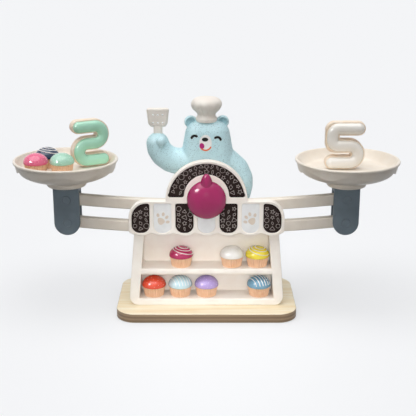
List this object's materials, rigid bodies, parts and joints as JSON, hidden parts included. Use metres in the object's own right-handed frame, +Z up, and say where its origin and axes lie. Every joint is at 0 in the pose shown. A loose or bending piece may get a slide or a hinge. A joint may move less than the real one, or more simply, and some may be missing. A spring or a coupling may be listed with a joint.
{
  "type": "toy balance scale",
  "caption": "Tabletop toy balance in the form of a bakery stall: parallel beams carry two round pans, a bear stands behind the awning, and cupcakes and numerals are the weights.",
  "frame": {"origin": "centre of the bounding box at its bottom, on the surface that the board stands on", "axes": "+X to the viewer's right along the beams, +Y away from the viewer, +Z up"},
  "size_m": [0.4, 0.1185, 0.2175],
  "materials": {
    "board_wood": "clear lacquer, light pine",
    "cream": "fine satin moulding",
    "steel": "bright",
    "dark_print": "printed panel with light line motifs",
    "white_print": "printed panel",
    "nylon": "natural",
    "magenta": "gloss",
    "slate_blue": "satin",
    "bear_blue": "satin with fine darker speckles",
    "biscuit": "satin",
    "green_icing": "gloss",
    "white_icing": "gloss",
    "cup": "satin, pleated",
    "red_tint": "gloss with sprinkles or piped lines",
    "sky_tint": "gloss with sprinkles or piped lines",
    "lilac_tint": "gloss with sprinkles or piped lines",
    "slate_tint": "gloss with sprinkles or piped lines",
    "rose_tint": "gloss with sprinkles or piped lines",
    "white_tint": "gloss with sprinkles or piped lines",
    "yellow_tint": "gloss with sprinkles or piped lines",
    "pink_tint": "gloss with sprinkles or piped lines",
    "mint_tint": "gloss with sprinkles or piped lines",
    "navy_tint": "gloss with sprinkles or piped lines"
  },
  "bodies": {
    "stand": {"base_board": "board_wood", "base_screws": "steel", "stand_front": "cream", "stand_rear": "cream", "shell_screws": "steel", "awning": "cream", "awning_screws": "steel", "arch_panel": "dark_print", "dark_panels": "dark_print", "white_panels": "white_print", "lower_axle": "steel", "hub_washers": "nylon", "bear_front": "bear_blue", "bear_rear": "bear_blue", "chef_hat": "cream", "spatula": "cream", "bear_screws": "steel"},
    "beam_upper": {"upper_beam": "cream", "upper_axle": "steel", "pointer_knob": "magenta"},
    "beam_lower": {"lower_beam": "cream"},
    "left_carrier": {"left_post_front": "slate_blue", "left_post_rear": "slate_blue", "left_post_pins": "steel", "left_post_screws": "steel", "left_pan_dish": "cream", "left_pan_bowl": "cream"},
    "right_carrier": {"right_post_front": "slate_blue", "right_post_rear": "slate_blue", "right_post_pins": "steel", "right_post_screws": "steel", "right_pan_dish": "cream", "right_pan_bowl": "cream"},
    "number_two": {"two_biscuit": "biscuit", "two_icing": "green_icing"},
    "number_five": {"five_biscuit": "biscuit", "five_icing": "white_icing", "five_slug": "steel"},
    "red_cupcake": {"red_cup": "cup", "red_icing": "red_tint"},
    "sky_cupcake": {"sky_cup": "cup", "sky_icing": "sky_tint"},
    "lilac_cupcake": {"lilac_cup": "cup", "lilac_icing": "lilac_tint"},
    "slate_cupcake": {"slate_cup": "cup", "slate_icing": "slate_tint"},
    "rose_cupcake": {"rose_cup": "cup", "rose_icing": "rose_tint"},
    "white_cupcake": {"white_cup": "cup", "white_icing": "white_tint"},
    "yellow_cupcake": {"yellow_cup": "cup", "yellow_icing": "yellow_tint"},
    "pink_cupcake": {"pink_cup": "cup", "pink_icing": "pink_tint"},
    "mint_cupcake": {"mint_cup": "cup", "mint_icing": "mint_tint"},
    "navy_cupcake": {"navy_cup": "cup", "navy_icing": "navy_tint"}
  },
  "joints": [
    {"name": "beam_tilt", "type": "hinge", "parent": "stand", "child": "beam_upper", "pos_m": [0, 0.0055, 0.1247], "axis": [0, 1, 0], "range_deg": [-7, 7]},
    {"name": "lower_beam_tilt", "type": "hinge", "parent": "stand", "child": "beam_lower", "pos_m": [0, 0.0055, 0.1], "axis": [0, 1, 0], "range_deg": [-7, 7]},
    {"name": "left_post_swing", "type": "hinge", "parent": "beam_upper", "child": "left_carrier", "pos_m": [-0.14625, 0.0055, 0.1142], "axis": [0, 1, 0], "range_deg": [-7, 7]},
    {"name": "right_post_swing", "type": "hinge", "parent": "beam_upper", "child": "right_carrier", "pos_m": [0.14625, 0.0055, 0.1142], "axis": [0, 1, 0], "range_deg": [-7, 7]},
    {"name": "pink_cupcake_lift", "type": "slide", "parent": "left_carrier", "child": "pink_cupcake", "axis": [0, 0, 1], "range_m": [0, 0.06]},
    {"name": "mint_cupcake_lift", "type": "slide", "parent": "left_carrier", "child": "mint_cupcake", "axis": [0, 0, 1], "range_m": [0, 0.06]},
    {"name": "navy_cupcake_lift", "type": "slide", "parent": "left_carrier", "child": "navy_cupcake", "axis": [0, 0, 1], "range_m": [0, 0.06]},
    {"name": "number_two_lift", "type": "slide", "parent": "left_carrier", "child": "number_two", "axis": [0, 0, 1], "range_m": [0, 0.06]},
    {"name": "number_five_lift", "type": "slide", "parent": "right_carrier", "child": "number_five", "axis": [0, 0, 1], "range_m": [0, 0.06]},
    {"name": "red_cupcake_take_out", "type": "slide", "parent": "stand", "child": "red_cupcake", "axis": [0, -0.9348, 0.3552], "range_m": [0, 0.045]},
    {"name": "sky_cupcake_take_out", "type": "slide", "parent": "stand", "child": "sky_cupcake", "axis": [0, -0.9348, 0.3552], "range_m": [0, 0.045]},
    {"name": "lilac_cupcake_take_out", "type": "slide", "parent": "stand", "child": "lilac_cupcake", "axis": [0, -0.9348, 0.3552], "range_m": [0, 0.045]},
    {"name": "slate_cupcake_take_out", "type": "slide", "parent": "stand", "child": "slate_cupcake", "axis": [0, -0.9348, 0.3552], "range_m": [0, 0.045]},
    {"name": "rose_cupcake_take_out", "type": "slide", "parent": "stand", "child": "rose_cupcake", "axis": [0, -0.9348, 0.3552], "range_m": [0, 0.045]},
    {"name": "white_cupcake_take_out", "type": "slide", "parent": "stand", "child": "white_cupcake", "axis": [0, -0.9348, 0.3552], "range_m": [0, 0.045]},
    {"name": "yellow_cupcake_take_out", "type": "slide", "parent": "stand", "child": "yellow_cupcake", "axis": [0, -0.9348, 0.3552], "range_m": [0, 0.045]}
  ],
  "couplings": [
    {"joint": "lower_beam_tilt", "follows": "beam_tilt", "ratio": 1},
    {"joint": "left_post_swing", "follows": "beam_tilt", "ratio": -1},
    {"joint": "right_post_swing", "follows": "beam_tilt", "ratio": -1}
  ]
}
